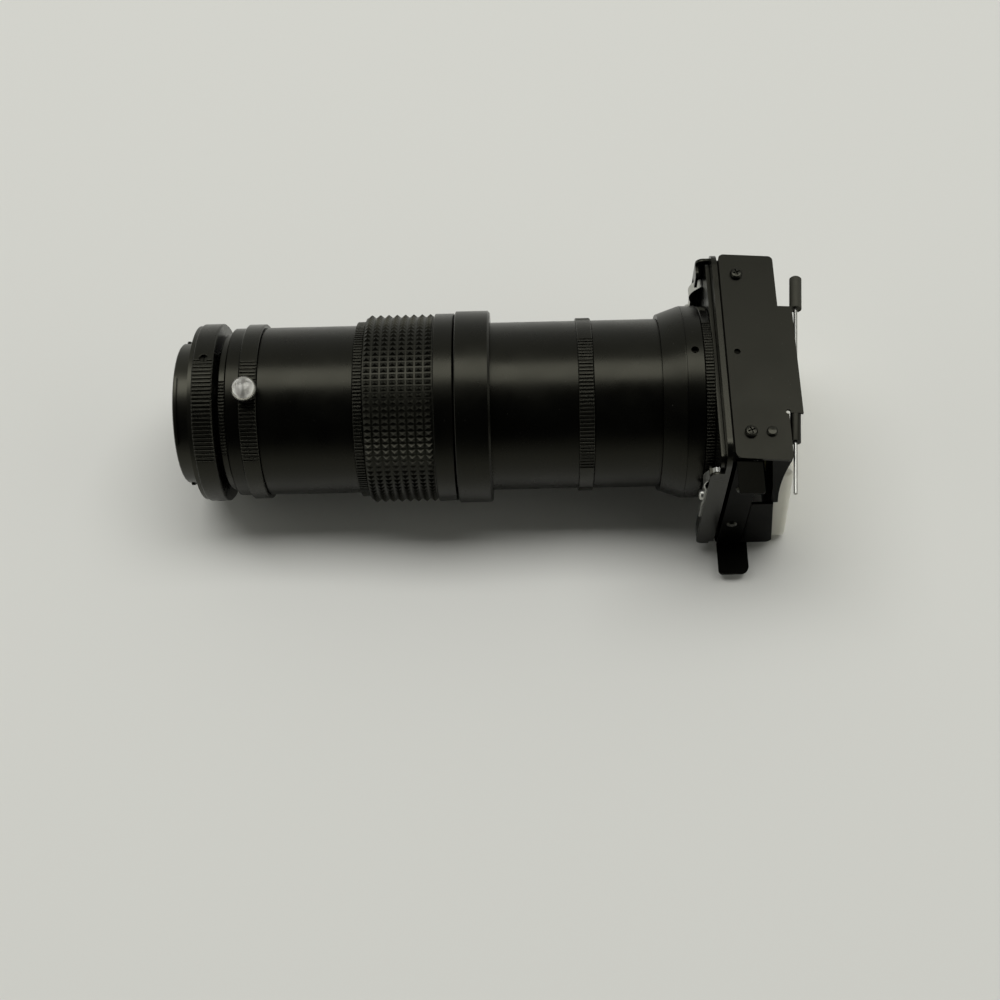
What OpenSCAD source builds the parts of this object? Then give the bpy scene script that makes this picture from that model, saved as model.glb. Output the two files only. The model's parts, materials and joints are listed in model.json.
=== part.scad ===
// Zoom slide duplicator: a camera adapter, a zoom barrel with its lens cell and
// a sheet-metal slide stage with a carrier, a hinged gate and an opal diffuser.
// Origin: centre of the camera flange's mating face, on the optical axis.
// +X runs along the axis to the slide stage, +Z is up as the part lies, mm.

/* [Camera adapter] */
// Radius of the bayonet spigot
spigot_r = 25; // [24.4:0.1:25.4]
// Inner radius of the bayonet spigot and throat
throat_r = 21.4; // [20.5:0.1:22]
// How far the spigot reaches into the camera
spigot_len = 6.5; // [5:0.1:8]
// How far the bayonet lugs stand out of the spigot
lug_reach = 1; // [0.8:0.1:1.6]
// Thickness of the bayonet lugs
lug_t = 1.5; // [1:0.1:2]
// Angle that one bayonet lug spans
lug_angle = 55; // [40:1:70]
// Width of the camera flange's face round the spigot
flange_w = 6.2; // [5.8:0.1:7.4]
// Thickness of the flange's visible rim
flange_t = 1.3; // [0.8:0.1:1.6]
// How far the ribbed adapter ring stands out over the flange
adapter_rise = 0.6; // [0.2:0.1:1.6]
// Length of the adapter ring along the axis
adapter_len = 7.2; // [7:0.1:10]
// Radius of the adapter's screw thread for the barrel
thread_r = 20.8; // [20:0.1:21]

/* [Rear sleeve and collar] */
// Radius of the ribbed jam ring behind the adapter
jam_ring_r = 28; // [26.5:0.1:29]
// Length of the jam ring
jam_ring_len = 2.5; // [2:0.1:4]
// Length of the sleeve's smooth shoulder ring
shoulder_len = 4.6; // [3:0.1:6]
// Depth from the barrels' outside to the sleeve that the clamp collar turns on
sleeve_depth = 5; // [4.5:0.1:5.5]
// Bore radius of the sleeve
sleeve_bore_r = 18.8; // [17:0.1:19.5]
// How far the ribbed clamp collar stands out over the barrels
collar_rise = 1.3; // [0.8:0.1:2.5]
// Length of the clamp collar
collar_len = 6.1; // [5.4:0.1:7]
// Radius of the thumb screw's head
thumb_head_r = 4.35; // [3.5:0.05:5]
// Thickness of the thumb screw's head
thumb_head_t = 3.4; // [2.5:0.1:5]
// Radius of the thumb screw's shank
thumb_shank_r = 1.5; // [1:0.1:1.9]
// Direction of the thumb screw round the axis, from +Y towards +Z
thumb_angle = 106.5; // [90:0.5:120]

/* [Barrels] */
// Radius of the plain barrels
barrel_r = 30; // [29.6:0.1:30.6]
// Length of the plain rear barrel
rear_barrel_len = 32.6; // [28:0.1:40]
// Depth from the barrels' outside to the inner guide tube
guide_depth = 2; // [1.7:0.1:2.3]
// Wall of the inner guide tube
guide_wall = 1.5; // [1.2:0.1:2]
// Length of the plain front barrel ahead of its collar
front_barrel_len = 30.4; // [26:0.1:36]
// Length of the front tube
front_tube_len = 23.3; // [20:0.1:30]

/* [Zoom ring] */
// How far the ribbed zoom lock ring stands out over the barrels
zoom_lock_rise = 1.3; // [0.6:0.1:2]
// Length of the zoom lock ring
zoom_lock_len = 3.2; // [2.4:0.1:5]
// Length of the studded rubber grip
grip_len = 23.8; // [20:0.1:28]
// How far the tips of the grip's studs stand out over the barrels
grip_rise = 3.6; // [3.2:0.1:4.4]
// How far the metal core under the grip stands out over the barrels
grip_core_rise = 1.6; // [0.8:0.1:1.9]
// Height of the grip's studs
stud_h = 1; // [0.6:0.1:1.2]
// Rows of studs along the grip
stud_rows = 8; // [6:1:10]
// Studs in one row round the grip
stud_columns = 92; // [60:2:100]
// How far the smooth band ahead of the grip stands out over the barrels
zoom_band_rise = 3.6; // [3:0.1:4.4]
// Length of the smooth band
zoom_band_len = 6.8; // [5:0.1:9]
// How far the front barrel's rear collar stands out over the barrels
front_collar_rise = 4.3; // [3.6:0.1:5]
// Length of that collar
front_collar_len = 12.1; // [9:0.1:14]
// How far the front barrel runs out as the zoom ring turns
zoom_travel = 12; // [8:0.5:14]

/* [Lens cell] */
// Distance of the lens cell's rear end ahead of the grip's
lens_set = 3.1; // [1:0.1:6]
// Length of the lens cell
lens_len = 22; // [18:0.5:24]
// Radius of the lens elements
lens_r = 16; // [13:0.5:17]
// How far the lens cell runs forward as the zoom ring turns
lens_travel = 9; // [6:0.5:10]

/* [Stage coupling] */
// How far the ribbed union ring stands out over the barrels
union_rise = 0.9; // [0.6:0.1:2]
// Length of the union ring
union_len = 5.2; // [4:0.1:7]
// How far the flared ring's narrow end stands out over the barrels
flare_rise = 1.5; // [0.8:0.1:2.5]
// How far the stage collar stands out over the barrels
stage_collar_rise = 4.3; // [3.6:0.1:5]
// Length of the flared ring
flare_len = 8.2; // [7:0.1:11]
// Length of the stage collar
stage_collar_len = 5.7; // [5:0.1:8]
// Depth from the barrels' outside to the hub that turns in the stage collar
hub_depth = 3; // [2.6:0.1:4]
// Wall of the hub
hub_wall = 2; // [1.5:0.1:3]
// How far the ribbed stage lock ring stands out over the barrels
stage_lock_rise = 4; // [3:0.1:4.4]
// Length of the stage lock ring
stage_lock_len = 3.2; // [2.4:0.1:4]

/* [Stage base] */
// Thickness of the hub's square sliding plate
slide_plate_t = 1.4; // [1:0.1:2]
// How far the sliding plate reaches above and below the hub
slide_plate_reach = 3; // [2:0.5:4]
// Thickness of the base channel's web
base_t = 1.8; // [1.2:0.1:2.5]
// How far the base channel reaches above and below the housing
base_reach = 1.8; // [1.2:0.1:3]
// Thickness of the channel's sides and lips
channel_wall = 1; // [0.8:0.1:1.6]
// Depth of the channel behind its web
channel_depth = 4.6; // [4:0.1:6]
// Radius of the base's rounded corners
base_corner_r = 7; // [4:0.5:9]
// How far the channel's lips turn inwards
lip_reach = 4.6; // [3:0.1:5]
// Distance from the near side's upper end to the base's top
lip_top_drop = 11.8; // [9:0.1:15]
// How far the stage can be shifted up or down from the middle
shift_travel = 4; // [2:0.5:5]

/* [Stage housing] */
// Thickness of the housing's sheet metal
sheet_t = 1; // [0.8:0.1:1.4]
// Height of the rails above and below the carrier
rail_h = 5.5; // [5.2:0.1:6.5]
// Depth of the rails along the axis, from the housing's back edge
rail_depth = 13.6; // [13.2:0.1:15]
// Width of the housing's top panel along the axis
panel_w = 18.8; // [18.2:0.1:22]
// Extra width of the panel's stepped middle
step_w = 4.8; // [4:0.1:6]
// How far the panel's far end stays inside the base
panel_far_in = 1.4; // [0.8:0.1:2]
// How far the panel's near end stays inside the base
panel_near_in = 0.9; // [0.6:0.1:2]
// Slant of the panel's ends
end_slant = 4.5; // [0:0.5:6]
// Far end of the stepped middle
step_far_y = 18; // [10:0.5:20]
// Near end of the stepped middle
step_near_y = 24; // [22:0.5:26.5]
// Radius of the panel's near left corner
panel_corner_r = 2.5; // [1.8:0.1:5]
// Distance of the rail screws from the housing's back edge
rail_screw_set = 5.6; // [4.6:0.1:6.6]
// Distance of the upper rivet from the rails' front
rail_rivet_in = 1.1; // [1:0.1:2]
// Distance of the rail screws from the rails' ends
rail_screw_in = 6.8; // [6:0.1:8]

/* [Slide carrier] */
// Side length of a mounted slide
slide_size = 50.6; // [50.2:0.1:51.2]
// Depth of the pocket for a slide
pocket_t = 3.2; // [2.4:0.1:3.6]
// Side length of the picture window
window_size = 37; // [34:0.5:40]
// Width of the carrier's handle along the axis
handle_w = 8.4; // [8:0.1:10]
// Width of the handle's bottom tab along the axis
handle_tab_w = 11; // [9:0.1:12]
// How far the handle's top flange stands out of its web
handle_reach = 10.7; // [9:0.1:14]
// How far the carrier pulls out
carrier_travel = 50; // [40:1:52]

/* [Gate and diffuser] */
// Lean of the gate out from the housing
gate_lean = 4.5; // [2:0.5:5]
// Depth of the opal diffuser
diffuser_depth = 6; // [5:0.1:8]
// Wall of the opal diffuser
diffuser_wall = 1.8; // [1.4:0.1:2.4]
// Height of the diffuser's top edge above the axis
diffuser_top_z = 16.6; // [14:0.1:20]
// Radius of the lever's wire
wire_r = 0.65; // [0.5:0.05:0.8]
// Radius of the sleeve on the lever
lever_sleeve_r = 2.1; // [1.6:0.05:2.4]
// Length of the sleeve on the lever
lever_sleeve_len = 12.8; // [9:0.1:16]

/* [Hidden] */
$fn = 96;
run_gap = 0.05;            // clearance of a turning or sliding fit
seat_gap = 0.1;            // clearance between flat faces that move
line_gap = 0.3;            // visible gap between turning rings
side_gap = 0.4;            // clearance between folded sheets that pass
rib_h = 0.45;              // height of the ribs on the ribbed rings
eps = 0.01;
set_screw_angle = 88.5;    // direction of the collar's set screw

// radii, each worked out from the spigot's or the barrels'
flange_head_r = 1.8;       // heads of the flange's screws
flange_shank_r = 1.1;
flange_screw_r = spigot_r + flange_head_r + side_gap;
flange_r = spigot_r + flange_w;
boss_r = flange_r - 2.2;   // the flange's boss that centres the adapter ring
adapter_r = flange_r + adapter_rise;
thread_ring_r = flange_screw_r - 2 * flange_shank_r;
sleeve_r = barrel_r - sleeve_depth;
collar_r = barrel_r + collar_rise;
guide_r = barrel_r - guide_depth;
guide_bore_r = guide_r - guide_wall;
zoom_lock_r = barrel_r + zoom_lock_rise;
grip_r = barrel_r + grip_rise;
grip_core_r = barrel_r + grip_core_rise;
zoom_band_r = barrel_r + zoom_band_rise;
front_collar_r = barrel_r + front_collar_rise;
union_r = barrel_r + union_rise;
nose_r = guide_r + 0.8;
spigot_tube_r = guide_bore_r + 0.4;
flare_rear_r = barrel_r + flare_rise;
stage_collar_r = barrel_r + stage_collar_rise;
hub_r = barrel_r - hub_depth;
stage_lock_r = barrel_r + stage_lock_rise;

// places along the axis, each worked out from the one before
adapter_x = flange_t;
adapter_end_x = adapter_x + adapter_len;
jam_x = adapter_end_x + 1.2;
shoulder_x = jam_x + jam_ring_len + line_gap;
collar_x = shoulder_x + shoulder_len + line_gap;
rear_barrel_x = collar_x + collar_len;
zoom_lock_x = rear_barrel_x + rear_barrel_len + line_gap;
zoom_x = zoom_lock_x + zoom_lock_len + line_gap;
zoom_band_x = zoom_x + grip_len + 0.2;
zoom_end_x = zoom_band_x + zoom_band_len;
front_x = zoom_end_x + 0.5;
front_barrel_x = front_x + front_collar_len;
union_x = front_barrel_x + front_barrel_len;
front_tube_x = union_x + union_len + 0.1;
flare_x = front_tube_x + front_tube_len;
stage_collar_x = flare_x + flare_len;
stage_lock_x = stage_collar_x + stage_collar_len + line_gap;
slide_plate_x = stage_lock_x + stage_lock_len + seat_gap;
base_x = slide_plate_x + slide_plate_t + seat_gap;
housing_gap = 0.9;         // the housing stands off the base
housing_x = base_x + base_t + housing_gap;
panel_x1 = housing_x + panel_w;
step_x1 = panel_x1 + step_w;
guide_x = rear_barrel_x + 20;
guide_end_x = front_barrel_x + 0.7 * front_barrel_len;
sleeve_end_x = rear_barrel_x + 14;
lens_x = zoom_x + lens_set;

// the slide's carrier and rails, and the base and housing round them
carrier_x = housing_x + 1;
carrier_back_t = 1.2;
carrier_lip_t = 1.2;
carrier_w = carrier_back_t + pocket_t + carrier_lip_t;
carrier_half_z = slide_size / 2 + 1.9;
carrier_rail_gap = 0.3;
slide_margin = 3;          // the pocket's lip round the slide's face
rail_bottom_z = carrier_half_z + carrier_rail_gap;
rail_top_z = rail_bottom_z + rail_h;
housing_half_z = rail_top_z + sheet_t;
base_half_z = housing_half_z + base_reach;
base_half_y = stage_lock_r + 1.8 + lip_reach + channel_wall;
base_window = 2 * (hub_r - hub_wall) * 0.8;
side_inner_y = base_half_y - channel_wall;
lip_x = base_x - channel_depth;
slide_plate_half_z = hub_r + slide_plate_reach;
wall_y = base_half_y - 1;
panel_far_y = base_half_y - panel_far_in;
panel_near_y = base_half_y - panel_near_in;
end_fall = tan(end_slant);
rail_x1 = housing_x + rail_depth;
rail_half_y = wall_y - sheet_t - 1.4;
rail_screw_y = rail_half_y - rail_screw_in;
rail_x0 = base_x + base_t;
rail_lip_h = 1.5;
rail_screw_short = 1.3;    // the screws end this far before the rail's height
rail_screw_x = housing_x + rail_screw_set;
rail_rivet_x = rail_x1 - rail_rivet_in;
function rivet_x(side) = side > 0 ? rail_rivet_x : rail_rivet_x - 2.4;   // the lower clears the gate
handle_x = housing_x + 0.3;
handle_y = -wall_y - 0.8;
handle_half_z = housing_half_z - sheet_t - side_gap;

// hinge, gate and diffuser
hinge_r = 0.9;
knuckle_r = 2;
hinge_x = rail_x1 + 2.4;
hinge_z = rail_top_z - knuckle_r - 0.9;
ear_w = 4;
ear_half_y = rail_half_y - 5;
gate_x = rail_x1 + 0.2;
gate_t = 1.2;
gate_bottom_z = -housing_half_z - 1.5;
diffuser_x = gate_x + gate_t;
diffuser_half_y = rail_half_y;
cheek_t = 0.7;

// the wire's own line, and the panel's tab that is rolled round it
wire_slope = 0.0973;       // sideways run of the wire per unit along Y
wire_x0 = step_x1 - 0.1;   // where the wire crosses Y = 0
wire_z = housing_half_z - sheet_t - 0.8;
wire_near_y = handle_y - handle_reach - 1.4;
wire_far_y = panel_far_y - 9.7;
wire_angle = atan(wire_slope);
curl_r = 1.8;
curl_len = 10.4;
curl_near_y = -step_near_y - curl_len;

// ---------- helpers ----------

// Local (x, y, z) becomes (Y, Z, X): a shape drawn in the YZ plane runs along X.
module along_x(x0 = 0) { translate([x0, 0, 0]) rotate([90, 0, 90]) children(); }

// A turned piece: points are [radius, place along the axis].
module turned(points) { along_x() rotate_extrude() polygon(points); }

// A plain tube between two places.
module tube(x0, x1, r_out, r_in) {
    turned([[r_in, x0], [r_out, x0], [r_out, x1], [r_in, x1]]);
}

// A radial screw or hole: local z points outwards at the given angle.
module radial(x0, angle) { translate([x0, 0, 0]) rotate([angle - 90, 0, 0]) children(); }

// True where an angle lies in one of the ribbed stretches.
function ribbed(angle, stretches) =
    len([for (s = stretches) if (angle >= s[0] && angle <= s[1]) 1]) > 0;

// Outline of a ribbed ring: ribs in the stretches, a plain round elsewhere.
function rib_outline(r, count, stretches) =
    let (step = 360 / count)
    [for (i = [0 : count - 1])
        let (low = r - (ribbed((i + 0.5) * step, stretches) ? rib_h : 0))
        each [for (part = [[0, r], [0.42, r], [0.58, low], [0.84, low]])
            let (a = (i + part[0]) * step) [part[1] * cos(a), part[1] * sin(a)]]];

// A ribbed ring with a bore and a chamfer at each end.
module ribbed_ring(x0, length, r, bore, count, stretches, chamfer = 0) {
    difference() {
        along_x(x0) linear_extrude(length) polygon(rib_outline(r, count, stretches));
        tube(x0 - 1, x0 + length + 1, bore, 0);
        if (chamfer > 0) for (end = [0, 1])
            turned([[r - chamfer, x0 + end * length + (end - 0.5) * 2 * eps],
                    [r + 1, x0 + end * length + (end - 0.5) * 2 * eps],
                    [r + 1, x0 + end * length - (end - 0.5) * 2 * (chamfer + 1)]]);
    }
}

// A flat plate in the YZ plane with rounded corners.
module plate_yz(x0, t, half_y, z_low, z_high, corner) {
    along_x(x0) linear_extrude(t) rounded_box(-half_y, half_y, z_low, z_high, corner);
}

// A rectangle with true round corners.
module rounded_box(x0, x1, y0, y1, r) {
    union() {
        translate([x0 + r, y0]) square([x1 - x0 - 2 * r, y1 - y0]);
        translate([x0, y0 + r]) square([x1 - x0, y1 - y0 - 2 * r]);
        for (x = [x0 + r, x1 - r], y = [y0 + r, y1 - r]) translate([x, y]) circle(r, $fn = 32);
    }
}

// A polygon whose corners are rounded, each by its own radius (0 leaves it sharp).
function unit(v) = v / norm(v);
function corner(p, before, after, r) =
    let (u = unit(before - p), v = unit(after - p), half = acos(u * v) / 2)
    r == 0 ? [[p], p] : [[p + u * r / tan(half), p + v * r / tan(half)], p + unit(u + v) * r / sin(half)];

module rounded_shape(points, radii) {
    n = len(points);
    corners = [for (i = [0 : n - 1])
        corner(points[i], points[(i + n - 1) % n], points[(i + 1) % n], radii[i])];
    union() {
        polygon([for (c = corners) each c[0]]);
        for (i = [0 : n - 1]) if (radii[i] > 0) translate(corners[i][1]) circle(radii[i], $fn = 32);
    }
}

// Three ribbed stretches of one span, 120 degrees apart.
function three_stretches(first, span) = [for (k = [-1 : 2]) [first + 120 * k, first + 120 * k + span]];

// A small cross-headed screw standing on its head's underside, shank downwards.
module pan_screw(head_r, head_t, shank_r, shank_len) {
    difference() {
        union() {
            rotate_extrude($fn = 32) polygon([[0, 0], [head_r, 0], [head_r, head_t * 0.55],
                [head_r * 0.8, head_t * 0.9], [head_r * 0.5, head_t], [0, head_t]]);
            translate([0, 0, -shank_len]) cylinder(h = shank_len + eps, r = shank_r, $fn = 24);
        }
        for (turn = [20, 110]) rotate(turn)
            translate([-head_r * 0.6, -head_r * 0.12, head_t * 0.45])
                cube([head_r * 1.2, head_r * 0.24, head_t]);
    }
}

// ---------- camera adapter ----------

lug_turns = [117.6, 237.6, 357.6];
flange_turns = [45, 135, 225, 315];

module bayonet_flange() color("dimgray") {
    difference() {
        union() {
            turned([[throat_r, -spigot_len], [spigot_r - 0.4, -spigot_len],
                    [spigot_r, -spigot_len + 0.4], [spigot_r, 0], [flange_r, 0],
                    [flange_r, flange_t], [boss_r, flange_t], [boss_r, adapter_x + 1.5],
                    [throat_r, adapter_x + 1.5]]);
            for (turn = lug_turns)
                along_x() rotate(turn - lug_angle / 2) translate([0, 0, -spigot_len])
                    rotate_extrude(angle = lug_angle)
                        polygon([[spigot_r - 0.6, 0.3], [spigot_r + lug_reach - 0.3, 0.3],
                                 [spigot_r + lug_reach, 0.6], [spigot_r + lug_reach, lug_t],
                                 [spigot_r - 0.6, lug_t]]);
            // stop pin between two lugs
            radial(-spigot_len + 1.3, lug_turns[1] - 31) translate([0, 0, spigot_r - 1])
                cylinder(h = 1.5, r = 0.7, $fn = 24);
        }
        for (turn = flange_turns) flange_screw_place(turn)
            translate([0, 0, -flange_t - 3]) cylinder(h = 6, r = 1.15, $fn = 24);
        for (turn = flange_turns) flange_screw_place(turn)
            translate([0, 0, -0.9]) cylinder(h = 2, r = flange_head_r + run_gap, $fn = 24);
    }
}

// Four screws in the flange face; local z points out of the face.
module flange_screw_place(turn) {
    along_x() rotate(turn) translate([flange_screw_r, 0, 0]) rotate([180, 0, 0]) children();
}

module flange_screws() color("dimgray")
    for (turn = flange_turns) flange_screw_place(turn) translate([0, 0, -0.9])
        pan_screw(flange_head_r, 0.8, flange_shank_r, 3.4);

grip_stretches = three_stretches(84, 68);
grub_turns = [83, 203, 323];

module grub_place(turn) radial(adapter_x + 3.8, turn) translate([0, 0, thread_ring_r]) children();

module adapter_grip_ring() color("dimgray")
    difference() {
        ribbed_ring(adapter_x, adapter_len, adapter_r, thread_ring_r, 138, grip_stretches, 0.5);
        tube(adapter_x - 1, adapter_x + 1.5, boss_r + run_gap, 0);
        for (turn = grub_turns) grub_place(turn)
            translate([0, 0, -1]) cylinder(h = 12, r = 1.5, $fn = 32);
        for (turn = flange_turns) flange_screw_place(turn)
            translate([0, 0, -4.6]) cylinder(h = 5, r = flange_shank_r, $fn = 24);
    }

module thread_ring() color("gray")
    tube(adapter_x + 1.6, adapter_end_x - 0.2, thread_ring_r - run_gap, thread_r + run_gap);

module adapter_grub_screws() color("black")
    for (turn = grub_turns) grub_place(turn) difference() {
        cylinder(h = adapter_r - 1 - thread_ring_r, r = 1.45, $fn = 32);
        translate([-0.2, -2, adapter_r - thread_ring_r - 1.8]) cube([0.4, 4, 2]);
    }

module jam_ring() color("dimgray")
    ribbed_ring(jam_x, jam_ring_len, jam_ring_r, thread_r + run_gap, 150,
                three_stretches(96, 56), 0.3);

module rear_sleeve() color("black")
    turned([[sleeve_bore_r, adapter_x + 2.4], [thread_r, adapter_x + 2.4], [thread_r, shoulder_x],
            [barrel_r - 0.3, shoulder_x], [barrel_r, shoulder_x + 0.3],
            [barrel_r, shoulder_x + shoulder_len], [sleeve_r, shoulder_x + shoulder_len],
            [sleeve_r, sleeve_end_x], [sleeve_bore_r, sleeve_end_x]]);

// ---------- zoom barrel ----------

module clamp_collar() color("dimgray")
    difference() {
        ribbed_ring(collar_x, collar_len, collar_r, sleeve_r + run_gap, 144,
                    grip_stretches, 0.35);
        thumb_place() cylinder(h = 20, r = thumb_shank_r + run_gap, $fn = 32);
    }

module thumb_place() {
    radial(collar_x + collar_len * 0.46, thumb_angle) translate([0, 0, sleeve_r]) children();
}

// Height of the thumb screw's head above the sleeve
thumb_head_z = collar_r - sleeve_r + 1.6;

module thumb_screw() color("silver")
    thumb_place() {
        difference() {
            translate([0, 0, thumb_head_z]) rotate_extrude($fn = 64)
                polygon([[0, 0], [thumb_head_r - 0.3, 0], [thumb_head_r, 0.3],
                         [thumb_head_r, thumb_head_t - 0.4], [thumb_head_r - 0.4, thumb_head_t],
                         [thumb_head_r - 0.9, thumb_head_t], [thumb_head_r - 1.1, thumb_head_t - 0.5],
                         [0, thumb_head_t - 0.5]]);
            for (i = [0 : 23]) rotate(i * 15)
                translate([thumb_head_r + 0.15, 0, thumb_head_z - 1])
                    cylinder(h = thumb_head_t + 2, r = 0.32, $fn = 16);
        }
        translate([0, 0, 0.1]) cylinder(h = thumb_head_z - 0.1 + eps, r = thumb_shank_r, $fn = 32);
        translate([0, 0, thumb_head_z - 1.2]) cylinder(h = 1.2 + eps, r = thumb_shank_r + 0.9, $fn = 32);
    }

module rear_barrel() color("black")
    turned([[sleeve_r + run_gap, rear_barrel_x], [barrel_r - 0.2, rear_barrel_x],
            [barrel_r, rear_barrel_x + 0.2], [barrel_r, zoom_lock_x - line_gap],
            [guide_r, zoom_lock_x - line_gap], [guide_r, guide_x],
            [guide_bore_r, guide_x - 1], [sleeve_r + run_gap, guide_x - 4]]);

module guide_tube() color("black")
    turned([[guide_bore_r, guide_x], [guide_r, guide_x], [guide_r, guide_end_x],
            [guide_bore_r, guide_end_x]]);

module zoom_lock_ring() color("dimgray")
    ribbed_ring(zoom_lock_x, zoom_lock_len, zoom_lock_r, guide_r + run_gap, 150, [[0, 360]], 0.2);

module zoom_ring() color("black")
    turned([[guide_r + run_gap, zoom_x], [grip_core_r, zoom_x], [grip_core_r, zoom_band_x],
            [zoom_band_r - 0.3, zoom_band_x], [zoom_band_r, zoom_band_x + 0.3],
            [zoom_band_r, zoom_end_x - 0.3], [zoom_band_r - 0.3, zoom_end_x],
            [guide_r + run_gap, zoom_end_x]]);

// Studded grip: a sleeve whose outside is rows of four-sided studs.
grip_root_r = grip_r - stud_h;
function ring_points(r, x, half = 0) =
    [for (i = [0 : stud_columns - 1]) let (a = (i + half) * 360 / stud_columns)
        [x, r * cos(a), r * sin(a)]];

module zoom_grip() color("black") {
    n = stud_columns;
    row_len = grip_len / stud_rows;
    valleys = [for (k = [0 : stud_rows]) each ring_points(grip_root_r, zoom_x + k * row_len)];
    tips = [for (k = [0 : stud_rows - 1])
        each ring_points(grip_r, zoom_x + (k + 0.5) * row_len, 0.5)];
    bore_r = (grip_core_r + eps) / cos(180 / n);
    inner = [each ring_points(bore_r, zoom_x), each ring_points(bore_r, zoom_x + grip_len)];
    tip0 = n * (stud_rows + 1);
    in0 = tip0 + n * stud_rows;
    studs = [for (k = [0 : stud_rows - 1], i = [0 : n - 1])
        let (j = (i + 1) % n, a = k * n + i, b = k * n + j, c = a + n, d = b + n,
             t = tip0 + k * n + i)
        each [[a, b, t], [b, d, t], [d, c, t], [c, a, t]]];
    bore = [for (i = [0 : n - 1]) let (j = (i + 1) % n, a = in0 + i, b = in0 + j)
        each [[a, a + n, b], [b, a + n, b + n]]];
    ends = [for (i = [0 : n - 1]) let (j = (i + 1) % n, far = stud_rows * n)
        each [[i, in0 + i, j], [j, in0 + i, in0 + j],
              [far + i, far + j, in0 + n + i], [far + j, in0 + n + j, in0 + n + i]]];
    polyhedron(points = concat(valleys, tips, inner), faces = concat(studs, bore, ends));
}

// ---------- lens cell ----------

lens_end_x = lens_x + lens_len;
cell_r = guide_bore_r - run_gap;

module lens_cell() color("black")
    difference() {
        turned([[lens_r - 2, lens_x + 5], [lens_r, lens_x + 5], [lens_r, lens_x], [cell_r, lens_x],
                [cell_r, lens_end_x], [lens_r, lens_end_x], [lens_r, lens_end_x - 6],
                [lens_r - 2, lens_end_x - 6]]);
        for (x = [lens_x + 7, lens_end_x - 9]) tube(x, x + 2, cell_r + 1, cell_r - 0.8);
    }

// Outline of one face of an element: bulge towards the given side.
function face_arc(r, x, bulge) = [for (k = [0 : 8]) [r * k / 8, x + bulge * (1 - pow(k / 8, 2))]];
function face_back(r, x, bulge) = [for (k = [8 : -1 : 0]) [r * k / 8, x - bulge * (1 - pow(k / 8, 2))]];

module element(x0, x1, bulge_rear, bulge_front)
    turned(concat(face_back(lens_r - run_gap, x0, bulge_rear), face_arc(lens_r - run_gap, x1, bulge_front)));

module rear_lens() color("lightcyan") element(lens_x + 2.2, lens_x + 5, 1.6, -0.8);

module front_lens() color("lightcyan") element(lens_end_x - 6, lens_end_x - 2.4, -0.8, 1.8);

module aperture_stop() color("black")
    tube(lens_x + lens_len / 2 - 0.3, lens_x + lens_len / 2 + 0.3, lens_r - 2 - run_gap, 5);

module lens_retaining_rings() color("black") {
    tube(lens_x + 0.4, lens_x + 1.8, lens_r - run_gap, lens_r - 1.6);
    tube(lens_end_x - 2, lens_end_x - 0.6, lens_r - run_gap, lens_r - 1.6);
}

// ---------- front barrel and stage coupling ----------

module front_barrel() color("black")
    turned([[guide_r + run_gap, front_x], [front_collar_r - 0.3, front_x],
            [front_collar_r, front_x + 0.3], [front_collar_r, front_barrel_x - 0.7],
            [front_collar_r - 0.7, front_barrel_x], [barrel_r, front_barrel_x],
            [barrel_r, union_x - 0.1], [nose_r, union_x - 0.1], [nose_r, front_tube_x - 0.4],
            [spigot_tube_r, front_tube_x - 0.4], [spigot_tube_r, guide_end_x + 1],
            [guide_r + run_gap, guide_end_x + 1]]);

module union_ring() color("dimgray")
    ribbed_ring(union_x, union_len, union_r, nose_r + run_gap, 142,
                three_stretches(70, 95), 0.25);

module front_tube() color("black")
    turned([[spigot_tube_r - 2, guide_end_x + 2], [spigot_tube_r - run_gap, guide_end_x + 2],
            [spigot_tube_r - run_gap, front_tube_x], [barrel_r - 0.15, front_tube_x],
            [barrel_r, front_tube_x + 0.15], [barrel_r, flare_x],
            [barrel_r - 1.4, flare_x], [barrel_r - 1.4, flare_x + 3],
            [barrel_r - 2.6, flare_x + 3], [barrel_r - 2.6, front_tube_x + 2],
            [spigot_tube_r - 2, front_tube_x]]);

module flared_ring() color("black")
    turned([[barrel_r - 1.35, flare_x + run_gap], [flare_rear_r, flare_x + run_gap],
            [stage_collar_r - 0.1, stage_collar_x - 0.5], [stage_collar_r - 0.1, stage_collar_x - 0.1],
            [hub_r + run_gap, stage_collar_x - 0.1], [hub_r + run_gap, flare_x + 4.6],
            [hub_r + 1.6, flare_x + 4.6], [hub_r + 1.6, flare_x + 3.1],
            [barrel_r - 1.35, flare_x + 3.1]]);

module stage_collar() color("black")
    difference() {
        tube(stage_collar_x, stage_collar_x + stage_collar_len, stage_collar_r, hub_r + run_gap);
        radial(stage_collar_x + stage_collar_len / 2, set_screw_angle) cylinder(h = 40, r = 1.35, $fn = 32);
    }

module collar_set_screw() color("black")
    radial(stage_collar_x + stage_collar_len / 2, set_screw_angle) difference() {
        translate([0, 0, hub_r + 1]) cylinder(h = stage_collar_r - hub_r - 3, r = 1.3, $fn = 32);
        translate([0, 0, stage_collar_r - 3.2]) cylinder(h = 3, r = 0.65, $fn = 6);
    }

module stage_lock_ring() color("dimgray")
    ribbed_ring(stage_lock_x, stage_lock_len, stage_lock_r, hub_r + run_gap, 176,
                three_stretches(66, 104), 0.25);

// The hub turns in the collar; its square plate slides in the base channel.
module stage_hub() color("black")
    tube(flare_x + 4.5, slide_plate_x, hub_r, hub_r - hub_wall);

module hub_retaining_ring() color("silver")
    tube(flare_x + 3.2, flare_x + 4.5, hub_r + 1.3, hub_r - hub_wall + 0.4);

module hub_plate() color("black")
    difference() {
        plate_yz(slide_plate_x, slide_plate_t, side_inner_y - 0.3,
                 -slide_plate_half_z, slide_plate_half_z, 3);
        tube(slide_plate_x - 1, base_x, hub_r - hub_wall, 0);
    }

// ---------- slide stage ----------

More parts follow.
